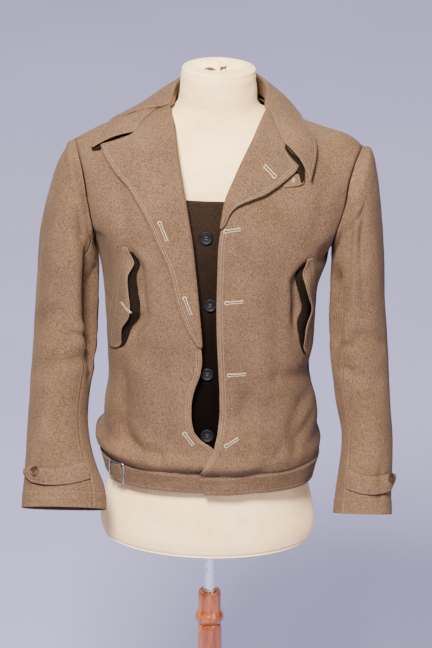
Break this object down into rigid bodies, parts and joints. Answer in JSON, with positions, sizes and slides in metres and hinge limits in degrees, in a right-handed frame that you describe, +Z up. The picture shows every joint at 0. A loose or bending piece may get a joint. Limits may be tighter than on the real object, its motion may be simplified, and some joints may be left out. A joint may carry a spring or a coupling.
{
  "type": "military blouson on a limbless dress form with stand",
  "caption": "Short waisted wool military blouson, worn open at the front on a limbless cloth-covered dress form on a chrome rod and turned wooden stand.",
  "frame": {"origin": "centre of the stand's base on the floor", "axes": "+Z up, the garment's front faces -Y, the wearer's left is +X"},
  "size_m": [0.5946, 0.41, 1.5216],
  "materials": {
    "serge": "matt brushed khaki-brown wool serge, twill weave",
    "canvas": "matt cream cotton cover",
    "wood": "reddish brown, turned and varnished",
    "steel": "polished",
    "dark_plastic": "satin, dished",
    "brown_plastic": "satin, dished, four holes"
  },
  "bodies": {
    "stand": {"base": "wood", "post": "wood", "ferrule": "steel"},
    "figure": {"rod": "steel", "dress_form": "canvas", "front_right": "serge", "front_left": "serge", "back": "serge", "lapel_right": "serge", "lapel_left": "serge", "collar_fall": "serge", "collar_stand": "serge", "sleeve_top_right": "serge", "sleeve_under_right": "serge", "sleeve_top_left": "serge", "sleeve_under_left": "serge", "under_flap": "serge", "button_1": "dark_plastic", "button_2": "dark_plastic", "button_3": "dark_plastic", "button_4": "dark_plastic", "throat_tab": "serge", "pocket_flap_right": "serge", "pocket_flap_left": "serge", "band_right": "serge", "band_left": "serge", "band_back": "serge", "strap": "serge", "buckle": "steel", "cuff_tab_right": "serge", "cuff_tab_left": "serge", "cuff_button_right": "brown_plastic", "cuff_button_left": "brown_plastic"}
  },
  "joints": [
    {"name": "height_slide", "type": "slide", "parent": "stand", "child": "figure", "axis": [0, 0, 1], "range_m": [-0.03, 0.25]}
  ]
}
